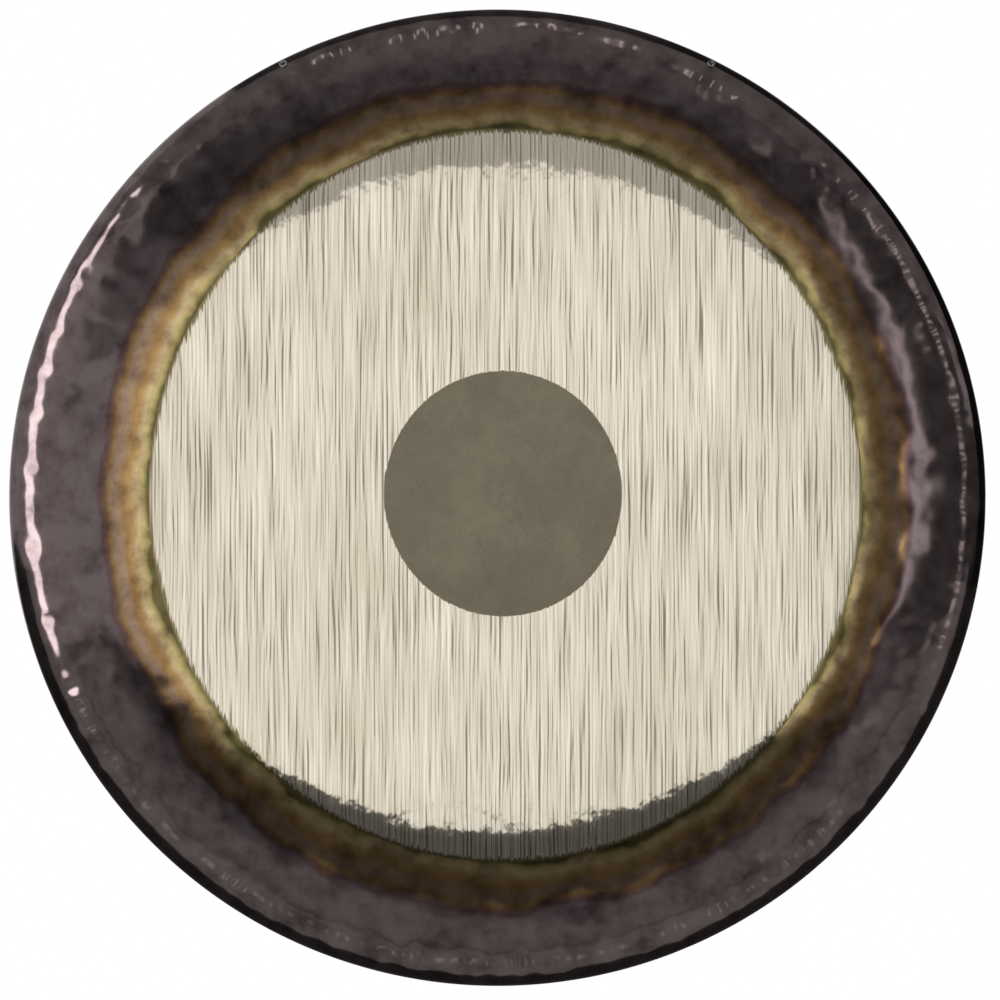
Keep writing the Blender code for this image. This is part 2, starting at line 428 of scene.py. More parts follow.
def hole_place(side):
    """Turns local Z to the axis of a cord hole, at the outside of the sheet."""
    radius = BEND_CENTRE + BEND_RADIUS * math.sin(HOLE_LEAN)
    height = BEND_HEIGHT + BEND_RADIUS * math.cos(HOLE_LEAN)
    face = Matrix.Translation((0, FACE_Y, CENTRE_Z)) @ Matrix.Rotation(math.pi / 2, 4, "X")
    turn = Matrix.Rotation(-side * HOLE_TURN, 4, "Z")
    return face @ turn @ Matrix.Translation((0, radius, height)) @ Matrix.Rotation(-HOLE_LEAN, 4, "X")


def turned_loop(name, edge, place):
    """A closed edge carried round local Z: x = r cos(turn), y = r sin(turn), z = height."""
    turn = np.linspace(0, 2 * np.pi, EYELET_STEPS, endpoint=False)[:, None]
    loop = np.stack([edge[:, 0] * np.cos(turn), edge[:, 0] * np.sin(turn), edge[:, 1] + 0 * turn], -1)
    count = len(edge)
    step, at = np.arange(EYELET_STEPS)[:, None], np.arange(count)
    next_step, after = (step + 1) % EYELET_STEPS, (at + 1) % count
    corners = [step * count + at, step * count + after]
    corners += [next_step * count + after, next_step * count + at]
    faces = np.stack(np.broadcast_arrays(*corners), -1).reshape(-1, 4)
    mesh = bpy.data.meshes.new(name)
    mesh.from_pydata(loop.reshape(-1, 3), [], faces.tolist())
    mesh.transform(place)
    face_outwards(mesh)
    mesh.shade_smooth()
    mesh.set_sharp_from_angle(angle=SHARP_ANGLE)
    return add_piece(name, mesh)


eyelets = [
    turned_loop(f"plated_eyelet_{side_name}", eyelet_edge(), hole_place(side))
    for side, side_name in ((-1, "left"), (1, "right"))
]
print([eyelet.name for eyelet in eyelets], len(eyelets[0].data.polygons), "faces each")

# %% [markdown]
# The holes are cut with a Boolean, because their rims cross the sheet's grid at a slant.

# %% Cord holes
CUTTER_LENGTH = 8 * MM


def cut_hole(side):
    """Cuts a round hole, one seat gap wider than the barrel, right through the sheet."""
    bar = bmesh.new()
    bmesh.ops.create_cone(
        bar, cap_ends=True, segments=EYELET_STEPS, radius1=BARREL + SEAT_GAP,
        radius2=BARREL + SEAT_GAP, depth=CUTTER_LENGTH, matrix=hole_place(side),
    )
    mesh = bpy.data.meshes.new("cord_hole_cutter")
    bar.to_mesh(mesh)
    bar.free()
    cutter = add_piece("cord_hole_cutter", mesh)
    cut = gong.modifiers.new("cord_hole", "BOOLEAN")
    cut.object = cutter
    graph = bpy.context.evaluated_depsgraph_get()
    gong.data = bpy.data.meshes.new_from_object(gong.evaluated_get(graph))
    gong.modifiers.clear()
    bpy.data.objects.remove(cutter)


for side in (-1, 1):
    cut_hole(side)
gong.data.name = gong.name
print("gong triangles:", sum(len(face.vertices) - 2 for face in gong.data.polygons))


# %% [markdown]
# ## Which face has which finish
#
# Each finish gets its own material, because a brushed face reflects along a direction and the others
# don't. A face belongs to the disc or to the brushed field if its middle lies inside that ellipse, and
# to the back if it faces backwards or inwards, which its normal tells. The UV map runs along X and Z,
# so its tangent lies across the brush strokes everywhere.

# %% Finish of each face
def inside_ellipse(x, z, offset, axes):
    """True where ((x - offset) / half axis)^2 + the same for z is under 1."""
    return ((x - offset[0]) / axes[0]) ** 2 + ((z - offset[1]) / axes[1]) ** 2 < 1


DISC, BRUSHED, TINTED, BACK, EDGE = range(5)
FACES_AWAY = 0.45
EDGE_DEPTH = 0.05 * MM


def sort_finishes(mesh):
    """Writes each face's material index and the UV map of the brushing.

    A normal's outward part is (nx x + nz z) / radius, and its backward part is ny.
    """
    count = len(mesh.polygons)
    centres, normals = np.empty(3 * count), np.empty(3 * count)
    mesh.polygons.foreach_get("center", centres)
    mesh.polygons.foreach_get("normal", normals)
    centres, normals = centres.reshape(-1, 3), normals.reshape(-1, 3)
    x, z = centres[:, 0], centres[:, 2] - CENTRE_Z
    outwards = (normals[:, 0] * x + normals[:, 2] * z) / np.maximum(np.hypot(x, z), 1e-9)
    finish = np.full(count, TINTED)
    finish[inside_ellipse(x, z, BRUSHED_OFFSET, BRUSHED_AXES)] = BRUSHED
    finish[inside_ellipse(x, z, DISC_OFFSET, DISC_AXES)] = DISC
    finish[(normals[:, 1] > FACES_AWAY) | (outwards < -FACES_AWAY)] = BACK
    finish[centres[:, 1] > REAR_Y - EDGE_DEPTH] = EDGE
    mesh.polygons.foreach_set("material_index", finish.astype(np.int32))
    corners = np.empty(len(mesh.loops), np.int32)
    mesh.loops.foreach_get("vertex_index", corners)
    points = np.empty(3 * len(mesh.vertices))
    mesh.vertices.foreach_get("co", points)
    flat = points.reshape(-1, 3)[corners][:, [0, 2]]
    mesh.uv_layers.new(name="brushing").data.foreach_set("uv", flat.ravel())
    return np.bincount(finish, minlength=5)


print("faces of disc, brushed field, tinted shoulder, back, edge:", sort_finishes(gong.data))
gong.data.shade_smooth()
gong.data.set_sharp_from_angle(angle=SHARP_ANGLE)


# %% [markdown]
# ## Helpers for materials
#
# Colours are written as sRGB hex values, as a paint program shows them, and turned to linear light by
# one function. One more function adds a node with its settings and links, and another starts a metal.
# A Mix node of colours keeps them in inputs 6 and 7 and gives their mix in output 2.

# %% Colour and node helpers
MIX_A, MIX_B, MIX_RESULT = 6, 7, 2


def linear(hex_colour):
    """Linear red, green, blue and alpha of an sRGB hex colour."""
    parts = [int(hex_colour[i : i + 2], 16) / 255 for i in (0, 2, 4)]
    return [c / 12.92 if c <= 0.04045 else ((c + 0.055) / 1.055) ** 2.4 for c in parts] + [1.0]


def add_node(tree, kind, inputs=None, stops=None, **settings):
    """Adds a node. Inputs are values or sockets to link, and stops fill a colour ramp."""
    node = tree.nodes.new(kind)
    for setting, value in settings.items():
        setattr(node, setting, value)
    for socket, value in (inputs or {}).items():
        if isinstance(value, bpy.types.NodeSocket):
            tree.links.new(value, node.inputs[socket])
        else:
            node.inputs[socket].default_value = value
    for number, (position, colour) in enumerate(stops or []):
        elements = node.color_ramp.elements
        element = elements[number] if number < 2 else elements.new(position)
        element.position = position
        element.color = linear(colour)
    return node


def new_metal(name, roughness, anisotropic=0.0):
    """A metal with the default IOR, and its tree, shader and Object coordinates."""
    material = bpy.data.materials.new(name)
    material.use_nodes = True
    tree = material.node_tree
    shader = tree.nodes["Principled BSDF"]
    shader.inputs["Metallic"].default_value = 1.0
    shader.inputs["Roughness"].default_value = roughness
    shader.inputs["Anisotropic"].default_value = anisotropic
    place = add_node(tree, "ShaderNodeTexCoord").outputs["Object"]
    return material, tree, shader, place


print("mid grey, hex 808080, is", round(linear("808080")[0], 3), "in linear light")

# %% [markdown]
# Patterns put several nodes together: a noise whose grain has a real size, a weighted sum, and the
# distance from a finish's oval border. They read Object coordinates, so they stay on the metal.

# %% Patterns in real sizes
def pattern(tree, place, sizes, detail=2.0, roughness=0.5, shift=(0, 0, 0)):
    """Noise from 0 to 1 whose grain has the given real size in metres along X, Y and Z."""
    spread = add_node(
        tree, "ShaderNodeMapping",
        {"Vector": place, "Scale": [1 / size for size in sizes], "Location": shift},
    )
    return add_node(
        tree, "ShaderNodeTexNoise",
        {"Vector": spread.outputs[0], "Scale": 1.0, "Detail": detail, "Roughness": roughness},
    ).outputs["Fac"]


def sum_of(tree, *terms):
    """Adds up terms of (socket, factor), or plain numbers."""
    total = 0.0
    for term in terms:
        value, factor = term if isinstance(term, tuple) else (term, 1.0)
        total = add_node(
            tree, "ShaderNodeMath", {0: value, 1: factor, 2: total}, operation="MULTIPLY_ADD"
        ).outputs[0]
    return total


def past_border(tree, place, offset, axes):
    """Distance in metres outside an elliptical finish.

    It is (length - 1) * mean half axis, where length is that of the place seen from the ellipse's
    centre, with X and Z each divided by its half axis.
    """
    scale = [1 / axes[0], 0.0, 1 / axes[1]]
    centred = [-offset[0] / axes[0], 0.0, -(CENTRE_Z + offset[1]) / axes[1]]
    spread = add_node(
        tree, "ShaderNodeMapping", {"Vector": place, "Scale": scale, "Location": centred}
    )
    length = add_node(
        tree, "ShaderNodeVectorMath", {0: spread.outputs[0]}, operation="LENGTH"
    ).outputs["Value"]
    mean = sum(axes) / 2
    return sum_of(tree, (length, mean), -mean)


print("borders:", round(2 * DISC_MEAN / MM), "and", round(2 * BRUSHED_MEAN / MM), "mm across on average")

# %% [markdown]
# ## Brushed nickel silver
#
# The middle was brushed from top to bottom with a coarse abrasive, through the oxide to bare nickel
# silver: copper, nickel and zinc, a warm white metal. The strokes are about 3.7 mm apart and sway a
# little, with finer and broader ones between them, from one to three decimetres long. The eye sees a
# pale sheen with dark hair lines, where oxide stayed in the grooves.

# %% Brush strokes
STROKE_SPACING = 3.7 * MM


def fine_strokes(tree, place):
    """The finest strokes: a noise 1.7 mm across and 110 mm long."""
    return pattern(tree, place, (1.7 * MM, 1.0, 110 * MM), 1.0, 0.6, (3.1, 0, 1.7))


def stroke_grooves(tree, place, fine):
    """A weighted sum of the broad and the fine strokes and of sin(2 pi x / spacing + drift)."""
    broad = pattern(tree, place, (4.5 * MM, 1.0, 280 * MM), 2.0, 0.6)
    drift = pattern(tree, place, (14 * MM, 1.0, 90 * MM), 1.0, 0.5, (5.0, 0, 4.0))
    across = add_node(tree, "ShaderNodeSeparateXYZ", {"Vector": place}).outputs["X"]
    phase = sum_of(tree, (across, 2 * math.pi / STROKE_SPACING), (drift, 18.0))
    strokes = add_node(tree, "ShaderNodeMath", {0: phase}, operation="SINE").outputs[0]
    return sum_of(tree, (broad, 0.28), (fine, 0.72), (strokes, 0.055))


def stroke_colour(tree, place, grooves):
    """Dark in the grooves and pale between them, times slow clouds."""
    clouds = pattern(tree, place, (50 * MM, 50 * MM, 90 * MM), 3.0)
    colour = add_node(
        tree, "ShaderNodeValToRGB", {"Fac": grooves},
        stops=[
            (0.35, "8E8575"), (0.42, "CBC2B0"), (0.48, "E0D7C6"),
            (0.57, "EAE1D0"), (0.67, "F8F1E4"),
        ],
    ).outputs[0]
    shade = add_node(
        tree, "ShaderNodeValToRGB", {"Fac": clouds}, stops=[(0.3, "F0EEE9"), (0.7, "FFFFFF")]
    ).outputs[0]
    return add_node(
        tree, "ShaderNodeMix", {"Factor": 1.0, MIX_A: colour, MIX_B: shade},
        data_type="RGBA", blend_type="MULTIPLY",
    ).outputs[MIX_RESULT]


print("brush strokes", STROKE_SPACING / MM, "mm apart")

# %% [markdown]
# The strokes stop unevenly at both borders, so teeth of oxide reach into the field. How far a tooth
# reaches depends on the fine strokes, and a tooth at the outer border is longer.

# %% Teeth of oxide
OUTER_TOOTH = 5 * MM
INNER_TOOTH = 2 * MM


def oxide_teeth(tree, place, fine):
    """How much oxide is left, from 0 to 1.

    It grows with distance / tooth length + 2.4 * fine strokes, past the outer or within the inner
    border, whichever gives more.
    """
    outer = past_border(tree, place, BRUSHED_OFFSET, BRUSHED_AXES)
    inner = past_border(tree, place, DISC_OFFSET, DISC_AXES)
    outer_teeth = sum_of(tree, (outer, 1 / OUTER_TOOTH), (fine, 2.4), 0.2)
    inner_teeth = sum_of(tree, (inner, -1 / INNER_TOOTH), (fine, 2.4), -0.3)
    teeth = add_node(
        tree, "ShaderNodeMath", {0: outer_teeth, 1: inner_teeth}, operation="MAXIMUM"
    ).outputs[0]
    return add_node(
        tree, "ShaderNodeMapRange", {"Value": teeth, "From Min": 0.75, "From Max": 1.1}
    ).outputs[0]


print("teeth of oxide about", round(OUTER_TOOTH / MM), "and", round(INNER_TOOTH / MM), "mm long")

# %% [markdown]
# A brushed face spreads light sideways and hardly at all up and down, so the anisotropy is full and
# its tangent lies along X. The grooves, and ripples and lumps too shallow for the mesh, are a bump.

# %% Brushed field
def brushed_nickel_silver():
    """Height in millimetres = 0.035 grooves + 0.10 ripple + 0.20 lumps."""
    material, tree, shader, place = new_metal("nickel_silver_brushed", 0.09, anisotropic=1.0)
    fine = fine_strokes(tree, place)
    grooves = stroke_grooves(tree, place, fine)
    oxide_left = oxide_teeth(tree, place, fine)
    brushed = stroke_colour(tree, place, grooves)
    toothed = add_node(
        tree, "ShaderNodeMix", {"Factor": oxide_left, MIX_A: brushed, MIX_B: linear("7C7150")},
        data_type="RGBA",
    ).outputs[MIX_RESULT]
    tree.links.new(toothed, shader.inputs["Base Color"])
    ripple = pattern(tree, place, (9 * MM, 1.0, 16 * MM), 2.0)
    lumps = pattern(tree, place, (26 * MM, 1.0, 34 * MM), 1.0, 0.5, (7.0, 0, 2.0))
    height = sum_of(tree, (grooves, 0.035), (ripple, 0.10), (lumps, 0.20))
    bump = add_node(tree, "ShaderNodeBump", {"Height": height, "Distance": MM, "Strength": 1.0})
    tree.links.new(bump.outputs[0], shader.inputs["Normal"])
    tangent = add_node(tree, "ShaderNodeTangent", direction_type="UV_MAP", uv_map="brushing")
    tree.links.new(tangent.outputs[0], shader.inputs["Tangent"])
    return material


brushed_field = brushed_nickel_silver()
print(brushed_field.name, "has", len(brushed_field.node_tree.nodes), "nodes")


# %% [markdown]
# ## Heat tints and fire scale
#
# Outside the brushed field the sheet still has the oxide of the forge. Next to the brushing it is
# thin, and its thickness shows as colours: olive, straw, bronze, then mauve brown. The colour is a
# ramp over the distance from the brushed border, and the border of each tint wanders with a slow
# noise, as the flame did.

# %% Heat tints
TINT_REACH = 44 * MM


def heat_tints(tree, place):
    """Tint position = distance from the border / reach + a slow and a ragged noise about zero."""
    outside = past_border(tree, place, BRUSHED_OFFSET, BRUSHED_AXES)
    wander = pattern(tree, place, (60 * MM, 60 * MM, 60 * MM), 3.0)
    ragged = pattern(tree, place, (14 * MM, 14 * MM, 14 * MM), 3.0, 0.6, (2.0, 5.0, 1.0))
    reach = sum_of(
        tree, (outside, 1 / TINT_REACH), (wander, 0.7), -0.35, (ragged, 0.10), -0.05
    )
    return add_node(
        tree, "ShaderNodeValToRGB", {"Fac": reach},
        stops=[
            (0.00, "6B6340"), (0.04, "9A8F5E"), (0.10, "C6B078"), (0.20, "CDB88C"),
            (0.30, "BC9C68"), (0.42, "A98658"), (0.56, "A38A6E"), (0.67, "9A8270"),
            (0.76, "8C7048"), (0.83, "6E5646"), (0.92, "5C4A4A"), (1.00, "655A5A"),
        ],
    ).outputs[0]


print("heat tints reach their dark end", round(TINT_REACH / MM), "mm out")

# %% [markdown]
# Further out the oxide is thick, dark and glossy, mottled grey and purple, and a little less glossy
# where it is paler. Shallow waves between the hammer marks bend the reflections.

# %% Tinted shoulder and dark rim
def heat_tinted_oxide():
    """The tints times the mottle, with a height in millimetres of 0.005 pits + 0.30 waves."""
    material, tree, shader, place = new_metal("nickel_silver_heat_tinted", 0.09)
    tints = heat_tints(tree, place)
    mottle = pattern(tree, place, (22 * MM, 22 * MM, 22 * MM), 5.0, 0.6, (9.0, 2.0, 4.0))
    shade = add_node(
        tree, "ShaderNodeValToRGB", {"Fac": mottle},
        stops=[(0.3, "B4AEB2"), (0.45, "E2DEDF"), (0.6, "FFFFFF")],
    ).outputs[0]
    colour = add_node(
        tree, "ShaderNodeMix", {"Factor": 1.0, MIX_A: tints, MIX_B: shade},
        data_type="RGBA", blend_type="MULTIPLY",
    ).outputs[MIX_RESULT]
    tree.links.new(colour, shader.inputs["Base Color"])
    matt = add_node(
        tree, "ShaderNodeMapRange", {"Value": mottle, "To Min": 0.06, "To Max": 0.13}
    ).outputs[0]
    tree.links.new(matt, shader.inputs["Roughness"])
    pits = pattern(tree, place, (3 * MM, 3 * MM, 3 * MM), 3.0)
    waves = pattern(tree, place, (25 * MM, 25 * MM, 25 * MM), 1.0, 0.3, (4.0, 4.0, 4.0))
    height = sum_of(tree, (pits, 0.005), (waves, 0.30))
    bump = add_node(tree, "ShaderNodeBump", {"Height": height, "Distance": MM, "Strength": 1.0})
    tree.links.new(bump.outputs[0], shader.inputs["Normal"])
    return material


tinted_shoulder = heat_tinted_oxide()
print(tinted_shoulder.name, "has", len(tinted_shoulder.node_tree.nodes), "nodes")


# %% [markdown]
# ## The plain disc, the back, the bare edge and the eyelets
#
# The disc in the middle was masked before the brushing, so it keeps an even, satin grey-brown oxide.
# The back was never polished and shows dull fire scale with bluish and rusty clouds. The rear edge of
# the rim was filed square and has rubbed bright. The eyelets are brass with bright nickel plate, dulled
# in small spots. All four are one metal with clouds of other sizes, colours and gloss.

# %% Oxide disc, back and edge
def clouded_metal(name, roughness, size, colours, grain, relief):
    """Metal whose colour runs evenly through a list over one noise of the given size.

    A finer noise, the grain, gives its relief and makes it from 0.75 to 1.3 times as rough.
    """
    material, tree, shader, place = new_metal(name, roughness)
    clouds = pattern(tree, place, (size,) * 3, 5.0, 0.6)
    last = len(colours) - 1
    colour = add_node(
        tree, "ShaderNodeValToRGB", {"Fac": clouds},
        stops=[(0.3 + 0.4 * number / last, colour) for number, colour in enumerate(colours)],
    ).outputs[0]
    tree.links.new(colour, shader.inputs["Base Color"])
    rub = pattern(tree, place, (grain,) * 3, 3.0, 0.6, (6.0, 1.0, 3.0))
    matt = add_node(
        tree, "ShaderNodeMapRange",
        {"Value": rub, "To Min": 0.75 * roughness, "To Max": 1.3 * roughness},
    ).outputs[0]
    tree.links.new(matt, shader.inputs["Roughness"])
    bump = add_node(tree, "ShaderNodeBump", {"Height": rub, "Distance": relief, "Strength": 1.0})
    tree.links.new(bump.outputs[0], shader.inputs["Normal"])
    return material


disc_oxide = clouded_metal(
    "nickel_silver_oxidised_disc", 0.25, 45 * MM, ["736B5A", "787060", "827A66"], 5 * MM, 0.01 * MM
)
fire_scale = clouded_metal(
    "nickel_silver_fire_scaled_back", 0.34, 70 * MM,
    ["4E4A50", "5B5250", "6B5A4C", "5A5558", "7A6650"], 4 * MM, 0.03 * MM,
)
filed_edge = clouded_metal(
    "nickel_silver_filed_edge", 0.3, 9 * MM, ["8F8570", "B5AA92"], 1.5 * MM, 0.02 * MM
)
nickel_plate = clouded_metal(
    "nickel_plated_brass", 0.2, 3 * MM, ["8E8A83", "B6B2AA", "C9C5BD"], 0.6 * MM, 0.01 * MM
)
for finish in (disc_oxide, brushed_field, tinted_shoulder, fire_scale, filed_edge):
    gong.data.materials.append(finish)
for eyelet in eyelets:
    eyelet.data.materials.append(nickel_plate)
print([material.name for material in gong.data.materials])

# %% [markdown]
# ## Fixing the pieces to the frame
#
# The three pieces ride on the part's one body and stand for its three solids.

# %% Ride and replace
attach(gong, "root")
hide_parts("gong_body")
for eyelet, node_name in zip(eyelets, ("suspension_eyelet_left", "suspension_eyelet_right")):
    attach(eyelet, "root")
    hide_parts(node_name)
print("on the frame:", gong.name, *[eyelet.name for eyelet in eyelets])


# %% [markdown]
# ## The studio
#
# Metal shows what stands around it, so the studio matters as much as the material. A soft lamp behind
# the camera lights whatever isn't metal, and reflections don't see it.

# %% Front lamp
def area_light(name, place, aim, width, height, radiance):
    """A rectangular lamp that neither the camera nor reflections see.

    A radiance needs a power of pi * area * radiance.
    """
    lamp = bpy.data.lights.new(name, "AREA")
    lamp.shape = "RECTANGLE"
    lamp.size = width
    lamp.size_y = height
    lamp.energy = math.pi * width * height * radiance
    light = bpy.data.objects.new(name, lamp)
    light.location = place
    light.rotation_euler = (Vector(aim) - Vector(place)).to_track_quat("-Z", "Y").to_euler()
    light.visible_camera = False
    light.visible_glossy = False
    bpy.context.scene.collection.objects.link(light)


area_light(
    "front_lamp", (0, -4.05, CENTRE_Z), (0, 0, CENTRE_Z), width=2.6, height=1.5, radiance=1.0
)

# %% [markdown]
# The brushed field shows the white background through a window between upright cards, which only
# reflections can see. Cards above, below and beside the window give the shoulder its darker and
# lighter parts.

# %% Cards round the window
STUDIO_Y = -4.2
WINDOW_RIGHT = 1.2
WINDOW_HALF_HEIGHT = 0.73


def glow(name, radiance):
    """A material that only shines, which the lamp sampling leaves out."""
    material = bpy.data.materials.new(name)
    material.use_nodes = True
    tree = material.node_tree
    tree.nodes.clear()
    shine = add_node(tree, "ShaderNodeEmission", {"Color": (1, 1, 1, 1), "Strength": radiance})
    add_node(tree, "ShaderNodeOutputMaterial", {"Surface": shine.outputs[0]})
    material.cycles.emission_sampling = "NONE"
    return material


def card(name, corners, radiance):
    """A card that only reflections see. Corners are x, y and height above the gong's centre."""
    mesh = bpy.data.meshes.new(name)
    points = np.array(corners) + [0, 0, CENTRE_Z]
    mesh.from_pydata(points, [], [list(range(len(points)))])
    mesh.materials.append(glow(name, radiance))
    piece = add_piece(name, mesh)
    for kind in ("camera", "diffuse", "transmission", "shadow", "volume_scatter"):
        setattr(piece, f"visible_{kind}", False)
    piece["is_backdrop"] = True


def upright_card(name, left, right, low, high, radiance, y=STUDIO_Y):
    """An upright card that faces the gong, between two sides and two heights."""
    card(name, [(left, y, low), (right, y, low), (right, y, high), (left, y, high)], radiance)


for name, left, right, low, high, radiance in (
    ("card_above", -2.2, 6.0, WINDOW_HALF_HEIGHT, 1.25, 0.46),
    ("card_over", -2.2, 6.0, 1.25, 1.95, 0.20),
    ("card_upper", -2.2, 6.0, 1.95, 2.4, 0.36),
    ("card_high", -6.0, 9.0, 2.4, 9.0, 0.55),
    ("card_below_window", -2.0, 3.0, -1.55, -WINDOW_HALF_HEIGHT, 0.10),
    ("card_low", -9.0, 9.0, -9.0, -1.55, 0.50),
    ("card_low_left", -9.0, -2.0, -1.55, -1.0, 0.50),
):
    upright_card(name, left, right, low, high, radiance)
upright_card("card_right", WINDOW_RIGHT, 9.0, -1.3, 1.2, 0.20, y=STUDIO_Y + 0.03)
print("window up to", WINDOW_RIGHT, "m to the right and", WINDOW_HALF_HEIGHT, "m up and down")

# %% [markdown]
# The lower shoulder shows the floor in front of the gong. Cards on it are drawn with the mirror law,
# as bands that the camera sees between two radii of the gong: first dark, then lighter towards the
# rim. A wall at the right and a ceiling keep the turned-back rim dark.

# %% Floor, wall and ceiling cards
CAMERA_DISTANCE = 4.0
FLOOR_CARD_Z = -0.84
FLOOR_CARD_DEPTH = 4.1
LOWER_HALF = np.radians(np.linspace(98, 262, 21))


def lean_at(radius):
    """Angle off the gong's axis of the light that the camera sees at a radius of the face.

    A mirror that slopes by s turns the camera's ray by 2 s, on top of its own atan(radius / distance).
    """
    return 2 * dish(radius)[1] + np.arctan(radius / CAMERA_DISTANCE)


def floor_border(radius):
    """Floor points that the lower half shows at a radius.

    The ray leaves (radius sin turn, radius cos turn) and reaches the floor after
    (floor height - radius cos turn) / (sin lean cos turn), or ends at the upright cards before that.
    """
    lean = lean_at(np.full_like(LOWER_HALF, radius))
    down = np.cos(LOWER_HALF)
    reach = (FLOOR_CARD_Z - radius * down) / (np.sin(lean) * down)
    reach = np.minimum(reach, FLOOR_CARD_DEPTH / np.cos(lean))
    out = radius + reach * np.sin(lean)
    height = np.full_like(out, FLOOR_CARD_Z)
    return np.column_stack([out * np.sin(LOWER_HALF), -reach * np.cos(lean), height])


for name, inner, outer, radiance in (
    ("floor_card_dark", 300 * MM, 339 * MM, 0.095),
    ("floor_card_middle", 339 * MM, 350 * MM, 0.32),
    ("floor_card_light", 350 * MM, 373 * MM, 0.62),
    ("floor_card_gap", 373 * MM, 378 * MM, 0.32),
    ("floor_card_near", 378 * MM, 395 * MM, 0.66),
):
    card(name, np.vstack([floor_border(inner), floor_border(outer)[::-1]]), radiance)
under = FLOOR_CARD_Z - 2 * MM
card(
    "floor_card_under",
    [(-9, -FLOOR_CARD_DEPTH, under), (9, -FLOOR_CARD_DEPTH, under), (9, 2.4, under), (-9, 2.4, under)],
    0.09,
)
card("card_right_wall", [(4.5, -2, -4.6), (4.5, 6, -4.6), (4.5, 6, 4.6), (4.5, -2, 4.6)], 0.03)
card("card_ceiling", [(-3, -2, 4.5), (1.6, -2, 4.5), (1.6, 6, 4.5), (-3, 6, 4.5)], 0.16)
card("card_ceiling_right", [(1.6, -2, 4.5), (4.6, -2, 4.5), (4.6, 6, 4.5), (1.6, 6, 4.5)], 0.07)
print("light seen at 0.35 m leans", round(math.degrees(lean_at(np.array(0.35)))), "degrees")

# %% [markdown]
# Other cards are laid out by where the face shows them, as clock angles in degrees and radii in
# millimetres, and the mirror law places them.

# %% Cards by where they show
def shown_card(name, outline, radiance, distance=3.0):
    """A card that the face shows in an outline of (clock angle, radius) points.

    Each corner lies the given distance from its point of the face, along the ray that leans outwards.
    """
    clock, radius_mm = np.array(outline, dtype=float).T
    turn = np.radians(clock)
    radius = radius_mm * MM
    lean = lean_at(radius)
    out = radius + distance * np.sin(lean)
    corners = [out * np.sin(turn), -distance * np.cos(lean), out * np.cos(turn)]
    card(name, np.column_stack(corners), radiance)


def shown_line(name, line, radiance):
    """A strip that the face shows as a line, given by rows of (clock angle, radius, half width)."""
    outline = [(clock, radius - half) for clock, radius, half in line]
    outline += [(clock, radius + half) for clock, radius, half in reversed(line)]
    shown_card(name, outline, radiance)


def shown_spots(name, spots, half_turn, half_width, radiance, distance=3.0):
    """Small cards that the face shows as spots, given by rows of (clock angle, radius)."""
    for number, (clock, radius) in enumerate(spots):
        inner, outer = radius - half_width, radius + half_width
        before, after = clock - half_turn, clock + half_turn
        outline = [(before, inner), (after, inner), (after, outer), (before, outer)]
        shown_card(f"{name}_{number}", outline, radiance, distance)


print("a card shown at 0.35 m stands", round(0.35 + 3 * math.sin(lean_at(np.array(0.35))), 2), "m out")

# %% [markdown]
# Bright strips draw a line of light down each side of the gong, and small cards make the glints that
# the hammer marks break up at the rim and on the shoulder.

# %% Lines of light and glints
LEFT_LINE = [
    (-51, 391, 0.8), (-66, 391, 2.4), (-82, 388, 3.0),
    (-93, 387, 3.0), (-105, 386, 2.4), (-117, 389, 0.8),
]
RIGHT_LINE = [
    (48, 364, 2.0), (62, 353, 2.8), (74, 353, 3.2),
    (88, 348, 3.2), (100, 347, 3.0), (112, 342, 1.5),
]
TOP_SPOTS = [(-21, 391), (-10, 388), (-5, 391), (5, 392), (15, 390), (26, 386)]
RIGHT_SPOTS = [(clock, 387) for clock in range(52, 130, 5)]
BOTTOM_SPOTS = [(clock, 386) for clock in range(134, 246, 6)]
SHOULDER_SPOTS = [
    (28, 377), (37, 362), (47, 374), (70, 376), (108, 374), (121, 354), (132, 372), (143, 370),
]
shown_line("strip_left", LEFT_LINE, 8.0)
shown_line("strip_right", RIGHT_LINE, 3.2)
shown_spots("glint_top", TOP_SPOTS, 0.7, 1.8, 5.0)
shown_spots("glint_right", RIGHT_SPOTS, 0.6, 1.6, 4.0)
shown_spots("glint_bottom", BOTTOM_SPOTS, 0.6, 1.8, 1.5, distance=0.5)
shown_spots("glint_shoulder", SHOULDER_SPOTS, 1.0, 4.0, 1.3, distance=0.6)
rim_spots = TOP_SPOTS + RIGHT_SPOTS + BOTTOM_SPOTS
print(len(rim_spots), "glints at the rim and", len(SHOULDER_SPOTS), "on the shoulder")

# %% [markdown]
# The floor is pale and lies 0.45 m below the hanging gong. It fades out towards its edge into the
# white background. A soft lamp overhead gives the gong its shadow on the floor.

# %% Floor and top lamp
FLOOR_DROP = 0.45
FLOOR_RADIUS = 2.4
floor_z = sheet_low.z - FLOOR_DROP
disc = bmesh.new()
bmesh.ops.create_circle(
    disc, cap_ends=True, segments=96, radius=FLOOR_RADIUS, matrix=Matrix.Translation((0, 0, floor_z))
)
floor_mesh = bpy.data.meshes.new("pale_floor")
disc.to_mesh(floor_mesh)
disc.free()
floor = add_piece("pale_floor", floor_mesh)
floor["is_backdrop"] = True
paint = bpy.data.materials.new("pale_matt_paint")
paint.use_nodes = True
tree = paint.node_tree
tree.nodes.clear()
place = add_node(tree, "ShaderNodeTexCoord").outputs["Object"]
flat = add_node(tree, "ShaderNodeVectorMath", {0: place, 1: (1, 1, 0)}, operation="MULTIPLY")
reach = add_node(tree, "ShaderNodeVectorMath", {0: flat.outputs[0]}, operation="LENGTH")
fade = add_node(
    tree, "ShaderNodeMapRange",
    {"Value": reach.outputs["Value"], "From Min": 0.4 * FLOOR_RADIUS, "From Max": FLOOR_RADIUS},
)
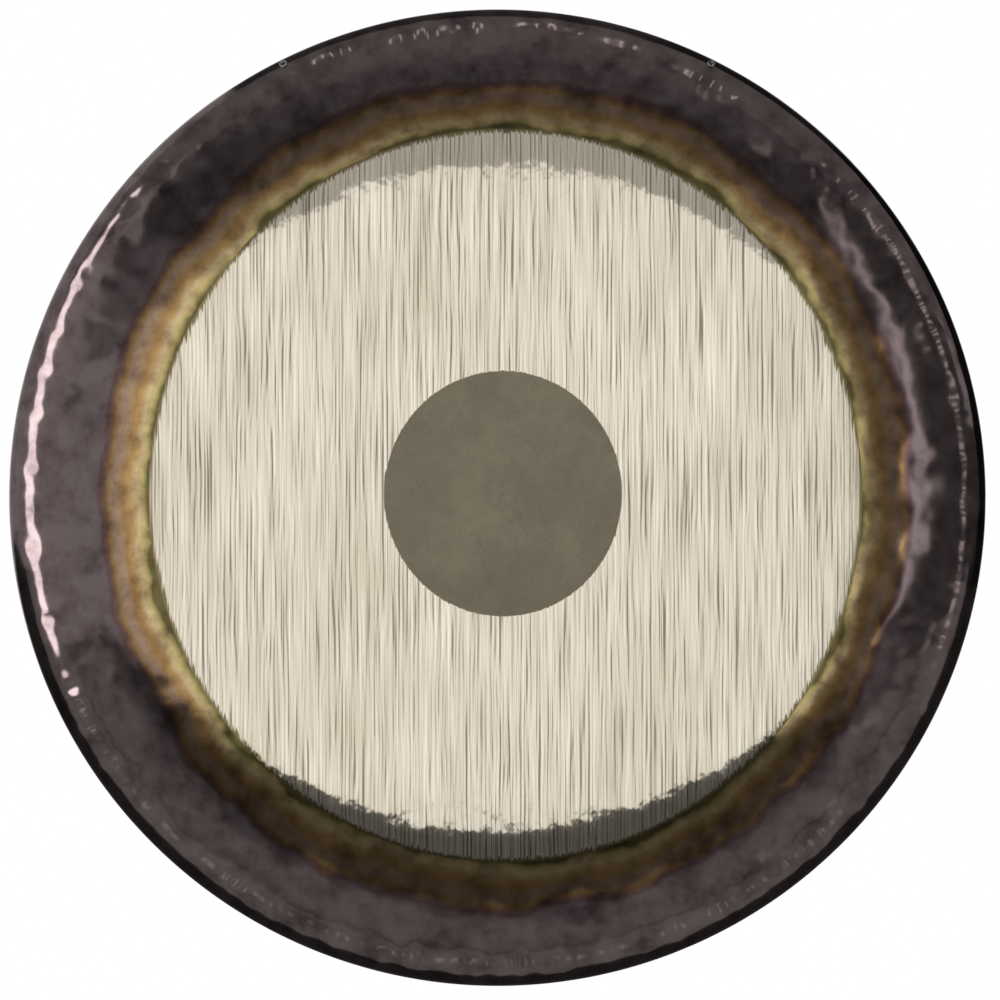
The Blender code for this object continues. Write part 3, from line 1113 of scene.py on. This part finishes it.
matt = add_node(tree, "ShaderNodeBsdfDiffuse", {"Color": linear("EDEBE8")})
clear = add_node(tree, "ShaderNodeBsdfTransparent")
faded = add_node(
    tree, "ShaderNodeMixShader", {0: fade.outputs[0], 1: matt.outputs[0], 2: clear.outputs[0]}
)
add_node(tree, "ShaderNodeOutputMaterial", {"Surface": faded.outputs[0]})
floor_mesh.materials.append(paint)

area_light("top_lamp", (0.3, -0.5, 2.6), (0, 0, floor_z), width=1.6, height=1.6, radiance=3.2)
print("floor at z =", round(floor_z, 3))

# %% [markdown]
# The camera, reflections and clear things see the white background at full strength, while the
# diffuse light from it stays lower, so that the floor keeps some shade.

# %% White background
DIFFUSE_WORLD = 0.6
world = bpy.data.worlds.new("white_studio")
bpy.context.scene.world = world
world.use_nodes = True
tree = world.node_tree
tree.nodes.clear()
rays = add_node(tree, "ShaderNodeLightPath").outputs
seen = sum_of(tree, rays["Is Camera Ray"], rays["Is Glossy Ray"], rays["Is Transmission Ray"])
strength = add_node(
    tree, "ShaderNodeMapRange", {"Value": seen, "To Min": DIFFUSE_WORLD, "To Max": 1.0}
).outputs[0]
air = add_node(tree, "ShaderNodeBackground", {"Color": (1, 1, 1, 1), "Strength": strength})
add_node(tree, "ShaderNodeOutputWorld", {"Surface": air.outputs[0]})
print("background", world.name, "lights the floor at", DIFFUSE_WORLD, "of its strength")

# %% [markdown]
# ## Camera
#
# The camera stands level in front of the gong, 4 m from the widest part of the bend, where the gong's
# outline lies. The lens is long enough for the 813 mm gong to fill 977 of the picture's 1000 pixels.

# %% Camera
PICTURE_PIXELS = 1000
GONG_PIXELS = 976.6
OFF_CENTRE_PIXELS = (2.56, -2.36)
pixel = 2 * OUTER_RADIUS / GONG_PIXELS
camera_data = bpy.data.cameras.new("camera")
camera_data.sensor_width = 36.0
camera_data.lens = camera_data.sensor_width * CAMERA_DISTANCE / (PICTURE_PIXELS * pixel)
camera = bpy.data.objects.new("camera", camera_data)
outline_y = FACE_Y - BEND_HEIGHT
camera.location = (
    OFF_CENTRE_PIXELS[0] * pixel,
    outline_y - CAMERA_DISTANCE,
    CENTRE_Z + OFF_CENTRE_PIXELS[1] * pixel,
)
camera.rotation_euler = (math.pi / 2, 0, 0)
bpy.context.scene.collection.objects.link(camera)
bpy.context.scene.camera = camera
bpy.context.scene.view_settings.view_transform = "Standard"
print(f"lens {camera_data.lens:.1f} mm, {1000 * pixel:.3f} mm a pixel")

# %% [markdown]
# ## Sizes
#
# The real metal is as big as the engineering model says, so this model's box has to match that model's
# box. This model's box is printed.

# %% Print the visual box
low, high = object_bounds()
print("visual box, mm:", [round(1000 * side) for side in high - low])
